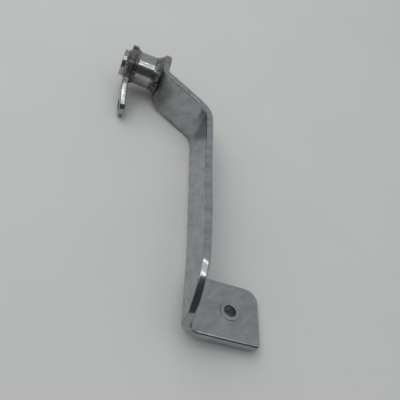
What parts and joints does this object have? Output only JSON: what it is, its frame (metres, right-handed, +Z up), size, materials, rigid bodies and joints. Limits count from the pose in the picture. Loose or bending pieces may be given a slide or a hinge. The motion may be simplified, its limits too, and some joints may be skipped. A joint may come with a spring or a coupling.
{
  "type": "rear brake pedal",
  "caption": "Chrome-plated rear brake pedal: cranked plate arm with a folded foot pad, a pivot tube and a short rod lever welded to it.",
  "frame": {"origin": "centre of the bounding box's base, on the surface that the pedal lies on", "axes": "+Z up as the pedal lies with its foot face down, -Y towards the foot pad, X nearly along the pivot tube with the foot pad towards +X"},
  "size_m": [0.1198, 0.2188, 0.0448],
  "materials": {
    "plate_chrome": "worn satin chrome plate",
    "tube_chrome": "bright chrome plate",
    "weld_chrome": "chrome plate over a dressed weld"
  },
  "bodies": {
    "root": {"pedal_arm": "plate_chrome", "rod_lever": "plate_chrome", "pivot_tube": "tube_chrome", "arm_weld": "weld_chrome", "lever_weld": "weld_chrome", "stub_weld": "weld_chrome"}
  },
  "joints": []
}
